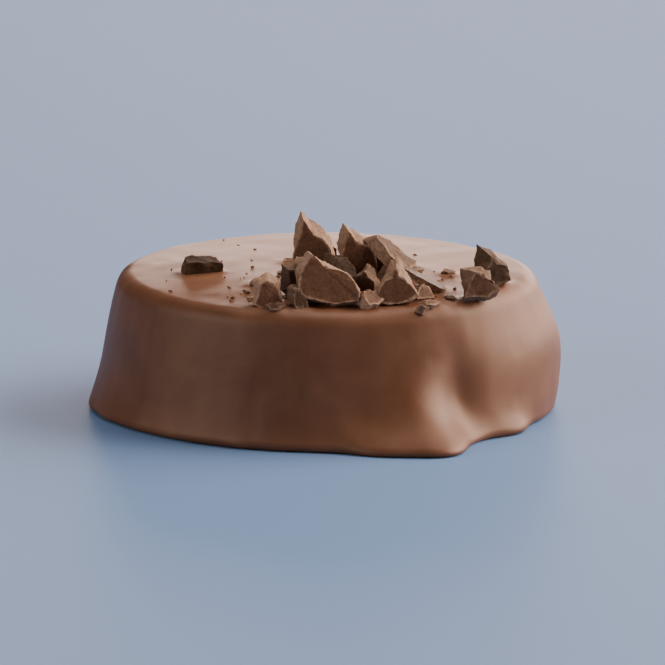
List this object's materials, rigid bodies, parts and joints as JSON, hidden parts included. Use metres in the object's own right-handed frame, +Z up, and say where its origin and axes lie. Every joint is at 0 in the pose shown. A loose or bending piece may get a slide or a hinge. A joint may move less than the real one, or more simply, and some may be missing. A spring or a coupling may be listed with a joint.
{
  "type": "chocolate caramel",
  "caption": "Round, slightly oval soft caramel coated in milk chocolate, wider at its foot than at its flat top, with broken flakes of dark chocolate stuck on top.",
  "frame": {"origin": "on the flat underside, straight under the middle of the top", "axes": "+Z up, -Y the front that the picture shows, +X its right"},
  "size_m": [0.0338, 0.0321, 0.0148],
  "materials": {
    "milk_chocolate": "satin milk chocolate",
    "dark_chocolate": "broken dark chocolate, matt on its breaks"
  },
  "bodies": {
    "root": {"chocolate_caramel": "milk_chocolate"}
  },
  "joints": []
}
